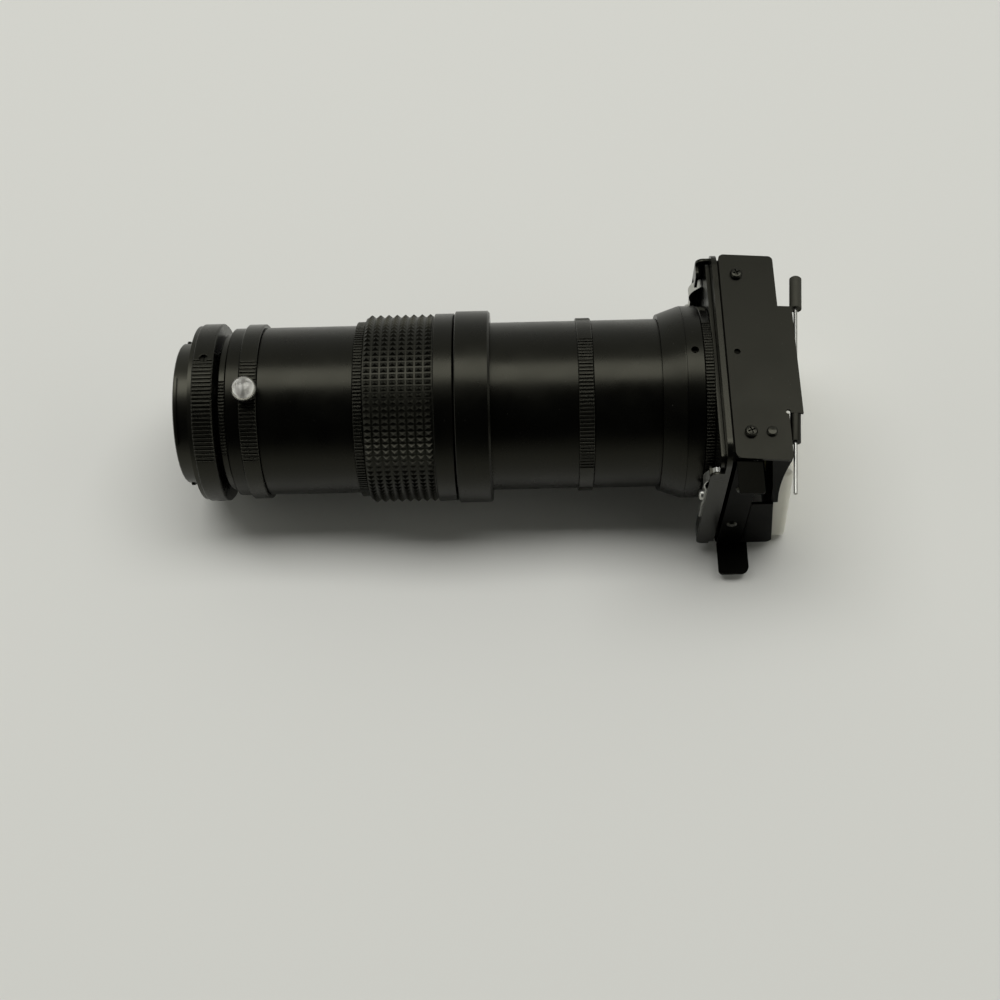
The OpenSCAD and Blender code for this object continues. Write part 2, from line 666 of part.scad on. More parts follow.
module stage_base() color("dimgray")
    difference() {
        union() {
            plate_yz(base_x, base_t, base_half_y, -base_half_z, base_half_z, base_corner_r);
            for (side = [-1, 1]) {
                translate([0, side > 0 ? base_half_y : -side_inner_y, 0]) rotate([90, 0, 0])
                    linear_extrude(channel_wall) side_outline(side);
                along_x(lip_x) linear_extrude(channel_wall) lip_outline(side);
            }
        }
        along_x(base_x - 1) linear_extrude(base_t + 2)
            rounded_box(-base_window / 2, base_window / 2, -base_window / 2, base_window / 2, 4);
        for (side = [-1, 1]) spring_screw_place(side) translate([0, 0, -4])
            cylinder(h = 5, r = 0.9, $fn = 24);
        // notch in each lip for the bent end of its spring
        for (side = [-1, 1])
            translate([lip_x - 1, side > 0 ? side_inner_y - lip_reach - 1 : -side_inner_y - 0.2,
                       spring_bend_z + 0.6 * spring_bend_len])
                cube([channel_wall + 2, lip_reach + 1.2, 0.4 * spring_bend_len + spring_t]);
    }

// The far side reaches higher than the near side, and both end in round corners.
function side_top(side) = base_half_z - lip_top_drop + (side > 0 ? 5.5 : 0);
side_foot_z = -base_half_z + base_corner_r;

module side_outline(side)
    rounded_shape([[lip_x, side_foot_z - 3], [base_x + eps, side_foot_z - 3],
                   [base_x + eps, side_top(side)], [lip_x, side_top(side)]], [2.5, 0, 0, 2.5]);

module lip_outline(side) {
    outer = side * side_inner_y;
    inner = side * (side_inner_y - lip_reach);
    rounded_shape([[outer + side * eps, side_foot_z], [inner, side_foot_z],
                   [inner, side_top(side) - 2.5], [outer + side * eps, side_top(side) - 2.5]],
                  [0, 2, 2, 0]);
}

spring_t = 0.5;
spring_w = 3.6;
spring_low_z = -13.4;
spring_bend_z = 9.9;
spring_bend_len = 9.3;

module spring_screw_place(side)
    translate([lip_x, side * (side_inner_y - lip_reach / 2), 2]) rotate([0, -90, 0]) children();

// The spring's back face: straight along the lip, then bowed out and in to the hub's plate.
spring_rise = slide_plate_x - seat_gap - lip_x;
function spring_line(x0, lift) = concat([[x0, spring_low_z]], [for (k = [0 : 12])
    let (t = k / 12) [x0 + lift * t * (t - 0.62) / 0.38, spring_bend_z + spring_bend_len * t]]);

// A leaf spring on each lip, with its upper end bent in to press on the hub's plate.
module shift_springs() color("silver")
    for (side = [-1, 1]) difference() {
        translate([0, side * (side_inner_y - lip_reach / 2) + spring_w / 2, 0]) rotate([90, 0, 0])
            linear_extrude(spring_w) polygon(concat(
                spring_line(lip_x - 0.02, spring_rise),
                [for (k = [13 : -1 : 0]) spring_line(lip_x - spring_t - 0.02, spring_rise)[k]]));
        // the leaf is narrower below its bend
        for (y = [-1, 1])
            translate([lip_x - 3, side * (side_inner_y - lip_reach / 2) + y * (spring_w / 2) - 0.7,
                       spring_low_z - 1]) cube([4, 1.4, 1 - spring_low_z - 1.5]);
        spring_screw_place(side) translate([0, 0, -1]) cylinder(h = 4, r = 0.95, $fn = 24);
    }

module spring_screws() color("silver")
    for (side = [-1, 1]) spring_screw_place(side) translate([0, 0, spring_t + 0.04])
        pan_screw(1.9, 1.3, 0.85, 2.2);

// Outline of the top panel: slanted ends, rounded corners and a stepped middle.
module panel_outline() {
    w = panel_x1 - housing_x;
    difference() {
        union() {
            rounded_shape([[housing_x, -panel_near_y], [panel_x1, -panel_near_y - end_fall * w],
                           [panel_x1, panel_far_y - end_fall * w], [housing_x, panel_far_y]],
                          [panel_corner_r, 1.8, 1.8, 1.8]);
            polygon([[panel_x1 - 2, -step_near_y], [step_x1, -step_near_y - end_fall * step_w],
                     [step_x1, step_far_y - end_fall * step_w], [panel_x1 - 2, step_far_y]]);
        }
        translate([panel_x1 - 0.2, -step_near_y + 0.3]) circle(0.8, $fn = 24);
    }
}

// Places of the rail screws' and rivets' holes in a panel.
module panel_holes() {
    for (y = [-rail_screw_y, rail_screw_y], z = [-1, 1])
        translate([rail_screw_x, y, z * housing_half_z - 3]) cylinder(h = 6, r = 1.15, $fn = 24);
    for (z = [-1, 1])
        translate([rivet_x(z), -rail_screw_y, z * housing_half_z - 3])
            cylinder(h = 6, r = 1.05, $fn = 24);
}

module top_panel() color("dimgray")
    difference() {
        union() {
            translate([0, 0, housing_half_z - sheet_t]) linear_extrude(sheet_t) panel_outline();
            curl();
        }
        panel_holes();
        translate([rail_screw_x - 2, 0, 0]) cylinder(h = 2 * housing_half_z, r = 1.1, $fn = 24);
        wire_path() translate([0, 0, -10])
            cylinder(h = 2 * base_half_y + 20, r = wire_r + run_gap, $fn = 32);
    }

module lower_shell() color("dimgray")
    difference() {
        union() {
            translate([0, 0, -housing_half_z]) linear_extrude(sheet_t)
                rounded_box(housing_x, rail_x1, -wall_y, wall_y, 1.6);
            for (y = [-wall_y, wall_y - sheet_t]) side_wall(y);
        }
        panel_holes();
    }

wall_back = 4;             // how far the side walls reach behind the rails' front
wall_foot = 7.1;           // and ahead of it, at their feet
wall_head = 3.4;           // and at their tops
wall_top_z = -2;

// One side wall: it covers the lower half ahead of the carrier's slot, and its
// front edge leans with the gate.
module side_wall(y)
    translate([0, y + sheet_t, 0]) rotate([90, 0, 0]) linear_extrude(sheet_t)
        rounded_shape([[rail_x1 - wall_back, -housing_half_z],
                       [rail_x1 + wall_foot, -housing_half_z],
                       [rail_x1 + wall_head, wall_top_z], [rail_x1 - wall_back, wall_top_z]],
                      [0, 2.4, 0.6, 0.6]);

// The wire's own frame: local z runs along the wire, from its near end.
module wire_path()
    translate([wire_x0 + wire_slope * wire_near_y, wire_near_y, wire_z])
        rotate([-90, 0, -wire_angle]) children();

function along_wire(y) = (y - wire_near_y) / cos(wire_angle);

// The panel's rolled tab round the wire.
module curl()
    wire_path() translate([0, 0, along_wire(curl_near_y)])
        cylinder(h = along_wire(1.4 - step_near_y) - along_wire(curl_near_y), r = curl_r, $fn = 48);

// A rail holds the carrier from above or below; the upper one carries the gate.
module rail(side, ears)
    difference() {
        union() {
            translate([rail_x0, -rail_half_y, side > 0 ? rail_bottom_z : -rail_top_z])
                cube([rail_x1 - rail_x0, 2 * rail_half_y, rail_top_z - rail_bottom_z]);
            // two lips that keep the carrier's edge in its groove
            for (x = [[rail_x0, carrier_x - seat_gap],
                      [carrier_x + carrier_w + seat_gap, carrier_x + carrier_w + 1.3]])
                translate([x[0], -rail_half_y, side > 0 ? rail_bottom_z - rail_lip_h : -rail_bottom_z - 1])
                    cube([x[1] - x[0], 2 * rail_half_y, rail_lip_h + 1]);
            if (ears) for (y = [-ear_half_y, ear_half_y - ear_w])
                translate([rail_x1 - 1, y, rail_bottom_z])
                    cube([hinge_x - rail_x1 + 1 + knuckle_r, ear_w, rail_top_z - rail_bottom_z]);
        }
        for (y = [-rail_screw_y, rail_screw_y])
            translate([rail_screw_x, y, side > 0 ? rail_bottom_z - 1 : -rail_top_z - 1])
                cylinder(h = rail_top_z - rail_bottom_z + 2, r = 1, $fn = 24);
        translate([rivet_x(side), -rail_screw_y, side > 0 ? rail_bottom_z - 1 : -rail_top_z - 1])
            cylinder(h = rail_top_z - rail_bottom_z + 2, r = 1, $fn = 24);
        if (ears) translate([hinge_x, 0, hinge_z]) rotate([90, 0, 0])
            cylinder(h = 2 * rail_half_y + 2, r = hinge_r + 0.01, center = true, $fn = 32);
    }

module upper_rail() color("black") rail(1, true);

module lower_rail() color("black") rail(-1, false);

module rail_screws() color("black")
    for (y = [-rail_screw_y, rail_screw_y], side = [-1, 1])
        translate([rail_screw_x, y, side * (housing_half_z + 0.02)])
            rotate([side > 0 ? 0 : 180, 0, 0]) pan_screw(2.1, 1.7, 0.95, rail_h - rail_screw_short);

module rail_rivets() color("black")
    for (side = [-1, 1]) translate([rivet_x(side), -rail_screw_y, side * (housing_half_z + 0.02)])
        rotate([side > 0 ? 0 : 180, 0, 0]) {
            rotate_extrude($fn = 32) polygon([[0, 0], [1.8, 0], [1.8, 0.6], [1.4, 1.1], [0, 1.3]]);
            translate([0, 0, rail_screw_short - rail_h])
                cylinder(h = rail_h - rail_screw_short + eps, r = 0.95, $fn = 24);
        }

module gate_hinge_pin() color("silver")
    translate([hinge_x, 0, hinge_z]) rotate([90, 0, 0])
        cylinder(h = 2 * ear_half_y - 1, r = hinge_r, center = true, $fn = 32);

// ---------- slide carrier ----------

module slide_carrier() color("black")
    difference() {
        translate([carrier_x, handle_y - 0.02, -carrier_half_z])
            cube([carrier_w, rail_half_y - 4 - handle_y, 2 * carrier_half_z]);
        // the pocket runs out at the far end
        translate([carrier_x + carrier_back_t, -slide_size / 2, -slide_size / 2])
            cube([pocket_t, slide_size + 10, slide_size]);
        // the front is open between its two lips
        translate([carrier_x + carrier_back_t + pocket_t - eps, slide_margin - slide_size / 2,
                   slide_margin - slide_size / 2])
            cube([4, slide_size + 10, slide_size - 2 * slide_margin]);
        along_x(carrier_x - 1) linear_extrude(8)
            rounded_box(-window_size / 2, window_size / 2, -window_size / 2, window_size / 2, 1.5);
        handle_rivet_holes();
    }

// The handle is a folded channel, open to the near side: a web riveted to the
// carrier's end, a top flange with a turned-down edge and a longer bottom tab.
module carrier_handle() color("dimgray")
    difference() {
        union() {
            translate([handle_x, handle_y - 0.04 - sheet_t, -handle_half_z])
                cube([handle_w, sheet_t, 2 * handle_half_z]);
            translate([0, 0, handle_half_z - sheet_t]) linear_extrude(sheet_t)
                handle_flange_outline(handle_w, handle_reach + sheet_t, [0.8, 0.8]);
            translate([handle_x + handle_w, handle_y - 0.04, handle_half_z]) rotate([90, 0, -90])
                linear_extrude(0.8) polygon([[0, 0], [handle_reach + 0.6, 0],
                    [handle_reach + 0.6, -1.2], [handle_reach - 2.4, -3.4], [0, -3.4]]);
            translate([0, 0, -handle_half_z]) linear_extrude(sheet_t)
                handle_flange_outline(handle_tab_w, handle_reach + sheet_t + 0.9, [1.5, 3]);
        }
        // bevelled near edge of the top flange
        translate([handle_x - 1, handle_y - handle_reach - sheet_t - 0.04, handle_half_z - 0.7])
            rotate([45, 0, 0]) translate([0, -2, 0]) cube([handle_w + 2, 2, 3]);
        handle_rivet_holes();
    }

module handle_flange_outline(w, reach, radii)
    rounded_shape([[handle_x, handle_y - 0.04], [handle_x, handle_y - reach],
                   [handle_x + w, handle_y - reach], [handle_x + w, handle_y - 0.04]],
                  [0, radii[0], radii[1], 0]);

module handle_rivet_holes()
    for (z = [-14, 14]) translate([carrier_x + carrier_w / 2, handle_y + 3, z])
        rotate([90, 0, 0]) cylinder(h = 8, r = 1.05, $fn = 24);

module handle_rivets() color("black")
    for (z = [-14, 14]) translate([carrier_x + carrier_w / 2, handle_y - sheet_t - 0.06, z])
        rotate([90, 0, 0]) {
            rotate_extrude($fn = 32) polygon([[0, 0], [1.9, 0], [1.4, 0.7], [0, 0.9]]);
            translate([0, 0, -2.8]) cylinder(h = 2.8 + eps, r = 1, $fn = 24);
        }

// ---------- gate, diffuser and lever ----------

// The gate hangs from its hinge pin and leans out from the housing.
module leaning() translate([hinge_x, 0, hinge_z]) rotate([0, -gate_lean, 0])
    translate([-hinge_x, 0, -hinge_z]) children();

module gate_frame() color("black")
    leaning() {
        difference() {
            union() {
                translate([gate_x, 0, 0])
                    plate_yz(0, gate_t, diffuser_half_y, gate_bottom_z, hinge_z - 0.4, 1);
                translate([hinge_x, 0, hinge_z]) rotate([90, 0, 0])
                    cylinder(h = 2 * (ear_half_y - ear_w - line_gap), r = knuckle_r, center = true,
                             $fn = 48);
            }
            translate([hinge_x, 0, hinge_z]) rotate([90, 0, 0])
                cylinder(h = 2 * base_half_y, r = hinge_r + run_gap, center = true, $fn = 32);
            // room for the rail's ears, and outside them
            for (side = [-1, 1])
                translate([gate_x - 3, side > 0 ? ear_half_y - ear_w - line_gap : -base_half_y,
                           hinge_z - 3.4])
                    cube([10, base_half_y - ear_half_y + ear_w + line_gap, 10]);
            along_x(gate_x - 1) linear_extrude(4)
                rounded_box(-23, 23, -23, diffuser_top_z - diffuser_wall, 2);
        }
        for (side = [-1, 1])
            translate([0, side > 0 ? diffuser_half_y + side_gap + cheek_t : -diffuser_half_y - side_gap, 0])
                rotate([90, 0, 0]) linear_extrude(cheek_t) cheek_outline();
        for (side = [-1, 1])
            translate([gate_x, side > 0 ? diffuser_half_y - 1 : -diffuser_half_y - side_gap - cheek_t,
                       cheek_foot_z])
                cube([gate_t, 1 + side_gap + cheek_t, hinge_z - 3.4 - cheek_foot_z]);
    }

// The cheek narrows downwards along a hollow front edge.
cheek_foot_z = -3.4;
function hollow(a, b, depth, n) = let (u = unit(b - a)) [for (k = [0 : n])
    let (t = k / n) a + t * (b - a) + 4 * depth * t * (1 - t) * [u[1], -u[0]]];

module cheek_outline()
    polygon(concat([[gate_x + 0.8, cheek_foot_z]],
                   hollow([gate_x + 2.5, cheek_foot_z], [gate_x + 5.3, hinge_z - 2.2], -1.1, 8),
                   [[gate_x - 1.3, hinge_z + 0.8]]));

module opal_diffuser() color("ivory")
    leaning() difference() {
        hull_free_box(diffuser_x, diffuser_depth, diffuser_half_y, gate_bottom_z, diffuser_top_z, 2.4);
        translate([diffuser_x - 1, -diffuser_half_y + diffuser_wall, gate_bottom_z + diffuser_wall])
            cube([diffuser_depth - diffuser_wall + 1, 2 * (diffuser_half_y - diffuser_wall),
                  diffuser_top_z - gate_bottom_z - 2 * diffuser_wall]);
    }

// A box with its front edges rounded, made by crossing two rounded extrusions.
module hull_free_box(x0, depth, half_y, z_low, z_high, r)
    intersection() {
        along_x(x0) linear_extrude(depth) rounded_box(-half_y, half_y, z_low, z_high, r);
        translate([0, half_y + 1, 0]) rotate([90, 0, 0]) linear_extrude(2 * half_y + 2)
            rounded_box(x0 - 2 * r, x0 + depth, z_low, z_high, r);
        translate([0, 0, z_low - 1]) linear_extrude(z_high - z_low + 2)
            rounded_box(x0 - 2 * r, x0 + depth, -half_y, half_y, r);
    }

module lever_wire() color("silver")
    wire_path() cylinder(h = along_wire(wire_far_y) - 0.6, r = wire_r, $fn = 32);

module lever_sleeve() color("black")
    wire_path() translate([0, 0, along_wire(wire_far_y) - lever_sleeve_len]) difference() {
        rotate_extrude($fn = 48) polygon([[0, 0], [lever_sleeve_r, 0],
            [lever_sleeve_r, lever_sleeve_len - 0.5], [lever_sleeve_r - 0.5, lever_sleeve_len],
            [0, lever_sleeve_len]]);
        translate([0, 0, -1]) cylinder(h = lever_sleeve_len + 0.5, r = wire_r + 0.01, $fn = 32);
    }

// ---------- one line for each sub-part ----------

bayonet_flange();
flange_screws();
adapter_grip_ring();
thread_ring();
adapter_grub_screws();
jam_ring();
rear_sleeve();
clamp_collar();
rear_barrel();
guide_tube();
thumb_screw();
zoom_lock_ring();
zoom_ring();
zoom_grip();
lens_cell();
rear_lens();
front_lens();
aperture_stop();
lens_retaining_rings();
front_barrel();
front_tube();
flared_ring();
stage_collar();
collar_set_screw();
union_ring();
stage_lock_ring();
stage_hub();
hub_retaining_ring();
hub_plate();
stage_base();
shift_springs();
spring_screws();
top_panel();
lower_shell();
upper_rail();
lower_rail();
rail_screws();
rail_rivets();
gate_hinge_pin();
slide_carrier();
carrier_handle();
handle_rivets();
gate_frame();
opal_diffuser();
lever_wire();
lever_sleeve();
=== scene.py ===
# %% [markdown]
# # A zoom slide duplicator
# A camera adapter, a black zoom barrel and a sheet-metal stage that holds a mounted
# slide in front of the lens. The solids come from the CAD model and stay where they
# are. This script gives them their finishes, rounds the edges of the sheet metal and the
# rings, and remakes two pieces whose beauty is in small forms: the studded rubber grip
# and the turned thumb screw.

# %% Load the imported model
import math

import bmesh
import bpy
from mathutils import Matrix, Vector
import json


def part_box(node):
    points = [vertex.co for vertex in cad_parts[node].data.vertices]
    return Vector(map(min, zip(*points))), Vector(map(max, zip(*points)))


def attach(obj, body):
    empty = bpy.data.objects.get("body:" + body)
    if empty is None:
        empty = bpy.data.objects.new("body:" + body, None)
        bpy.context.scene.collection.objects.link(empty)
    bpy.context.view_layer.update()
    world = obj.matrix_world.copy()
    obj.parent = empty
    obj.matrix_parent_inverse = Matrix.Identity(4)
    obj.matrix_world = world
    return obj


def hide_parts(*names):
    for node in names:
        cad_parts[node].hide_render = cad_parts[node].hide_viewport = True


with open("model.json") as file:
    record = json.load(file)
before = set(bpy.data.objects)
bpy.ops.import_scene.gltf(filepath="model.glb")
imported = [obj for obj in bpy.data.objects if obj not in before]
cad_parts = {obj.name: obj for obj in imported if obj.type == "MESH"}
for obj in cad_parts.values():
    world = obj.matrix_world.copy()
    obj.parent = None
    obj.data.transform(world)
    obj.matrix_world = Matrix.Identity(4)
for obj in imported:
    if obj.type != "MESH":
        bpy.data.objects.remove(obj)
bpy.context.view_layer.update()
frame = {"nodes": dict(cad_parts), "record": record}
mm = 0.001

# %% [markdown]
# ## Colours and nodes
# Every colour is written as an sRGB hex value, as a picture editor shows it, and one
# function turns it to the linear numbers that Blender's sockets take. One more function
# adds a node with its settings and links, so each material reads as a list of nodes.

# %% Two helpers for materials
def linear(hex_colour):
    channels = [int(hex_colour[i:i + 2], 16) / 255 for i in (1, 3, 5)]
    return [c / 12.92 if c <= 0.04045 else ((c + 0.055) / 1.055) ** 2.4 for c in channels] + [1]


def add(tree, kind, settings=None, links=None):
    made = tree.nodes.new(kind)
    for name, value in (settings or {}).items():
        if isinstance(name, int) or name in made.inputs:
            made.inputs[name].default_value = value
        else:
            setattr(made, name, value)
    for name, (source, output) in (links or {}).items():
        tree.links.new(source.outputs[output], made.inputs[name])
    return made


def new_material(name):
    material = bpy.data.materials.new(name)
    material.use_nodes = True
    material.node_tree.nodes.clear()
    return material, material.node_tree


def finish_with(tree, shader):
    add(tree, "ShaderNodeOutputMaterial", links={"Surface": (shader, 0)})


# %% [markdown]
# ## Painted and anodised blacks
# Almost everything here is black, and what tells one black from another is how it
# breaks up light. The tubes are satin anodised aluminium, the ribbed rings are cut
# anodised metal, the stage is enamelled sheet, and the insides are flocked matt. They
# share one recipe: a dark base with a faint olive cast, a cloudy roughness from
# handling, and a grain at the scale of the real surface, in millimetres. Dust adds rare
# pale specks, and a worn edge turns the shading of sharp ribs, as polishing does.

# %% One recipe for the blacks
olive_glint, dust_grey = "#f1efd6", "#8a8a84"
speck_mm, speck_share = 2.4, 0.045      # spacing of the dust, and a speck's size in it
rough_spread = 0.05


def black_finish(name, low, high, rough, grain_mm, grain_depth, cloud_mm=14, dust=0.0,
                 specular=0.5, stretch=(1, 1, 1), worn_edge_mm=0):
    material, tree = new_material(name)
    place = add(tree, "ShaderNodeTexCoord")
    stretched = add(tree, "ShaderNodeMapping", {"Scale": stretch}, {"Vector": (place, "Object")})
    cloud = add(tree, "ShaderNodeTexNoise", {"Scale": 1 / (cloud_mm * mm), "Detail": 4},
                {"Vector": (place, "Object")})
    grain = add(tree, "ShaderNodeTexNoise", {"Scale": 1 / (grain_mm * mm), "Detail": 3},
                {"Vector": (stretched, "Vector")})
    colour = add(tree, "ShaderNodeMix", {"data_type": "RGBA"}, {"Factor": (cloud, "Fac")})
    colour.inputs[6].default_value = linear(low)
    colour.inputs[7].default_value = linear(high)
    shine = add(tree, "ShaderNodeMapRange", {"From Min": 0.3, "From Max": 0.7,
                                             "To Min": rough - rough_spread,
                                             "To Max": rough + rough_spread},
                {"Value": (cloud, "Fac")})
    bump = add(tree, "ShaderNodeBump", {"Strength": 1, "Distance": grain_depth * mm},
               {"Height": (grain, "Fac")})
    shown = (colour, 2)
    if dust:
        speck = add(tree, "ShaderNodeTexVoronoi", {"Scale": 1 / (speck_mm * mm)},
                    {"Vector": (place, "Object")})
        here = add(tree, "ShaderNodeMapRange", {"From Min": speck_share, "From Max": 0.02,
                                                "To Min": 0, "To Max": dust},
                   {"Value": (speck, "Distance")})
        dusty = add(tree, "ShaderNodeMix", {"data_type": "RGBA"}, {"Factor": (here, 0)})
        tree.links.new(colour.outputs[2], dusty.inputs[6])
        dusty.inputs[7].default_value = linear(dust_grey)
        shown = (dusty, 2)
    finish_with(tree, add(tree, "ShaderNodeBsdfPrincipled",
                          {"Specular IOR Level": specular, "Specular Tint": linear(olive_glint)},
                          {"Base Color": shown, "Roughness": (shine, 0), "Normal": (bump, 0)}))
    if worn_edge_mm:
        worn = add(tree, "ShaderNodeBevel", {"samples": 8, "Radius": worn_edge_mm * mm})
        tree.links.new(worn.outputs["Normal"], bump.inputs["Normal"])
    return material


anodised_satin = black_finish("anodised_satin_tube", "#020202", "#040403", 0.29, 0.25, 0.003,
                              dust=0.3, specular=0.24, stretch=(3, 1, 1))
anodised_ribs = black_finish("anodised_cut_ribs", "#020202", "#040403", 0.27, 0.3, 0.003,
                             specular=0.3, worn_edge_mm=0.4)
flocked_matt = black_finish("flocked_matt_inside", "#040404", "#070706", 0.75, 0.4, 0.02,
                            specular=0.15)
enamel_satin = black_finish("enamel_satin_sheet", "#060605", "#0a0a08", 0.38, 0.9, 0.004,
                            dust=0.3, specular=0.2)
enamel_gloss = black_finish("enamel_gloss_sheet", "#050504", "#080807", 0.24, 1.2, 0.003,
                            dust=0.2, specular=0.3)
# The stage's lower sheets are deeper and duller than its top panel: this darker copy of
# the satin enamel is painted shade for the sheets that lie in the stage's own shade.
enamel_painted_shade = black_finish("enamel_painted_shade_sheet", "#010101", "#020201", 0.42, 0.9, 0.004,
                            specular=0.035)
oxide_screw = black_finish("black_oxide_screw", "#040404", "#080807", 0.28, 0.2, 0.003,
                           specular=0.34)
rubber_grip = black_finish("moulded_rubber_grip", "#040403", "#080806", 0.38, 0.2, 0.008,
                           cloud_mm=6, dust=0.3, specular=0.3)
shrink_sleeve = black_finish("shrink_sleeve", "#191917", "#24241f", 0.6, 0.35, 0.05, cloud_mm=2)
blackened_brass = black_finish("blackened_brass_flange", "#060605", "#0b0b09", 0.32, 0.4, 0.003,
                               specular=0.4)
print("black finishes:", 10)

# %% [markdown]
# ## Bright metal
# The springs and the lever's wire are nickel-plated spring steel, drawn or rolled along
# their length, so their streaks are stretched along it. Metals keep the default IOR, and
# their colour is the colour of their reflection.

# %% Bright metal
streak_grey, streak_depth_mm = "#8d8d88", 0.004


def bright_metal(name, colour, rough, streak_mm, streak_stretch):
    material, tree = new_material(name)
    place = add(tree, "ShaderNodeTexCoord")
    along = add(tree, "ShaderNodeMapping", {"Scale": streak_stretch},
                {"Vector": (place, "Object")})
    streak = add(tree, "ShaderNodeTexNoise", {"Scale": 1 / (streak_mm * mm), "Detail": 4},
                 {"Vector": (along, "Vector")})
    tone = add(tree, "ShaderNodeMix", {"data_type": "RGBA"}, {"Factor": (streak, "Fac")})
    tone.inputs[6].default_value = linear(streak_grey)
    tone.inputs[7].default_value = linear(colour)
    shine = add(tree, "ShaderNodeMapRange", {"To Min": rough - 0.08, "To Max": rough + 0.1},
                {"Value": (streak, "Fac")})
    bump = add(tree, "ShaderNodeBump", {"Distance": streak_depth_mm * mm},
               {"Height": (streak, "Fac")})
    finish_with(tree, add(tree, "ShaderNodeBsdfPrincipled", {"Metallic": 1},
                          {"Base Color": (tone, 2), "Roughness": (shine, 0), "Normal": (bump, 0)}))
    return material


nickel_spring = bright_metal("nickel_spring_steel", "#d8d8d2", 0.34, 0.4, (1, 1, 0.15))
nickel_wire = bright_metal("nickel_wire", "#9a9a94", 0.3, 0.3, (1, 0.1, 1))

# %% [markdown]
# ## Glass and opal acrylic
# The lens elements are coated glass. The diffuser is opal acrylic: milky all through, so
# light enters it, scatters and leaves again, which subsurface scattering does.

# %% Glass and opal
lens_glass, tree = new_material("coated_lens_glass")
finish_with(tree, add(tree, "ShaderNodeBsdfPrincipled",
                      {"Base Color": linear("#e9f2f2"), "Roughness": 0.02, "IOR": 1.52,
                       "Transmission Weight": 1, "Coat Weight": 0.3,
                       "Coat Tint": linear("#b9a6d8")}))

opal_acrylic, tree = new_material("opal_acrylic_diffuser")
place = add(tree, "ShaderNodeTexCoord")
milk = add(tree, "ShaderNodeTexNoise", {"Scale": 1 / (9 * mm), "Detail": 3},
           {"Vector": (place, "Object")})
milky = add(tree, "ShaderNodeMix", {"data_type": "RGBA"}, {"Factor": (milk, "Fac")})
milky.inputs[6].default_value = linear("#d3d1c3")
milky.inputs[7].default_value = linear("#dedcd0")
finish_with(tree, add(tree, "ShaderNodeBsdfPrincipled",
                      {"Roughness": 0.38, "IOR": 1.49, "Subsurface Weight": 0.35,
                       "Subsurface Scale": 4 * mm, "Subsurface Radius": (1, 0.95, 0.8)},
                      {"Base Color": (milky, 2)}))

# %% [markdown]
# ## Dress the solids
# The record names a material slot for each solid, so a table from slot to finish
# dresses them all, and nothing is forgotten when a solid is added. The lever's wire then
# gets a finish of its own, and the sheets that lie in the stage's own shade get a darker
# copy of the enamel, which is painted shade.

# %% Finishes by slot
finish_of = {
    "blackened_brass": blackened_brass, "ribbed_black": anodised_ribs,
    "barrel_black": anodised_satin, "inner_black": flocked_matt, "thumb_steel": nickel_spring,
    "grip_rubber": rubber_grip, "lens_glass": lens_glass, "stage_gloss": enamel_gloss,
    "stage_satin": enamel_satin, "spring_steel": nickel_spring, "screw_black": oxide_screw,
    "opal": opal_acrylic, "sleeve_black": shrink_sleeve,
}
for part in frame["record"]["subparts"]:
    mesh = frame["nodes"][part["node"]].data
    mesh.materials.clear()
    mesh.materials.append(finish_of[part["material_slot"]])
frame["nodes"]["lever_wire"].data.materials[0] = nickel_wire
# Painted shade: these sheets take the darker enamel copy because they lie in the stage's own shade.
for node in ("carrier_handle", "lower_shell", "slide_carrier", "gate_frame"):
    frame["nodes"][node].data.materials[0] = enamel_painted_shade
print("dressed", len(frame["nodes"]), "solids")

# %% [markdown]
# ## Folded and turned edges
# A real edge is never knife-sharp: paint rounds it and it catches a thin line of light.
# The solids arrive as loose triangles, so a Weld modifier joins them first, and a Bevel
# modifier then rounds only the edges that turn by more than the limit.

# %% Soft edges on the stage's sheet metal and turned rings
weld_reach = 0.002 * mm


def soft_edges(node, radius_mm, segments=2, angle=40):
    piece = frame["nodes"][node]
    weld = piece.modifiers.new("weld", "WELD")
    weld.merge_threshold = weld_reach
    bevel = piece.modifiers.new("soft_edge", "BEVEL")
    bevel.width = radius_mm * mm
    bevel.segments = segments
    bevel.limit_method = "ANGLE"
    bevel.angle_limit = math.radians(angle)


for node in ("top_panel", "lower_shell", "stage_base", "carrier_handle", "gate_frame",
             "slide_carrier", "hub_plate"):
    soft_edges(node, 0.12)
for node in ("adapter_grip_ring", "jam_ring", "clamp_collar", "zoom_lock_ring", "union_ring",
             "stage_lock_ring"):
    soft_edges(node, 0.13, segments=3, angle=30)

# %% [markdown]
# ## New pieces
# A bmesh becomes an object at the origin with its place in its mesh, rides on the body
# that carries it, and hides the solid that it replaces.

# %% Turn a bmesh into a piece
def corners_of(geometry):
    return [v for v in geometry if isinstance(v, bmesh.types.BMVert)]


def make_piece(name, shape, body, materials, replaced):
    bmesh.ops.recalc_face_normals(shape, faces=shape.faces)
    mesh = bpy.data.meshes.new(name)
    shape.to_mesh(mesh)
    shape.free()
    for material in materials:
        mesh.materials.append(material)
    piece = bpy.data.objects.new(name, mesh)
    bpy.context.scene.collection.objects.link(piece)
    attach(piece, body)
    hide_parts(replaced)
    print(name, len(mesh.polygons), "faces")


# %% [markdown]
# ## The studded grip
# The rubber sleeve has eight rows of small four-sided studs with a narrow flat valley
# between them. A tube with one face for each stud is inset face by face, which leaves
# the valleys, and each inner face is poked outwards into a pyramid.

# %% Studded grip
grip_low, grip_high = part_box("zoom_grip")
stud_rows, stud_columns = 8, 92
stud_height, valley_half = 1.0 * mm, 0.28 * mm
grip_tip_r, grip_bore_r = 33.6 * mm, 31.62 * mm
rim_reach = 0.01 * mm
grip_root_r = grip_tip_r - stud_height
row_length = (grip_high.x - grip_low.x) / stud_rows

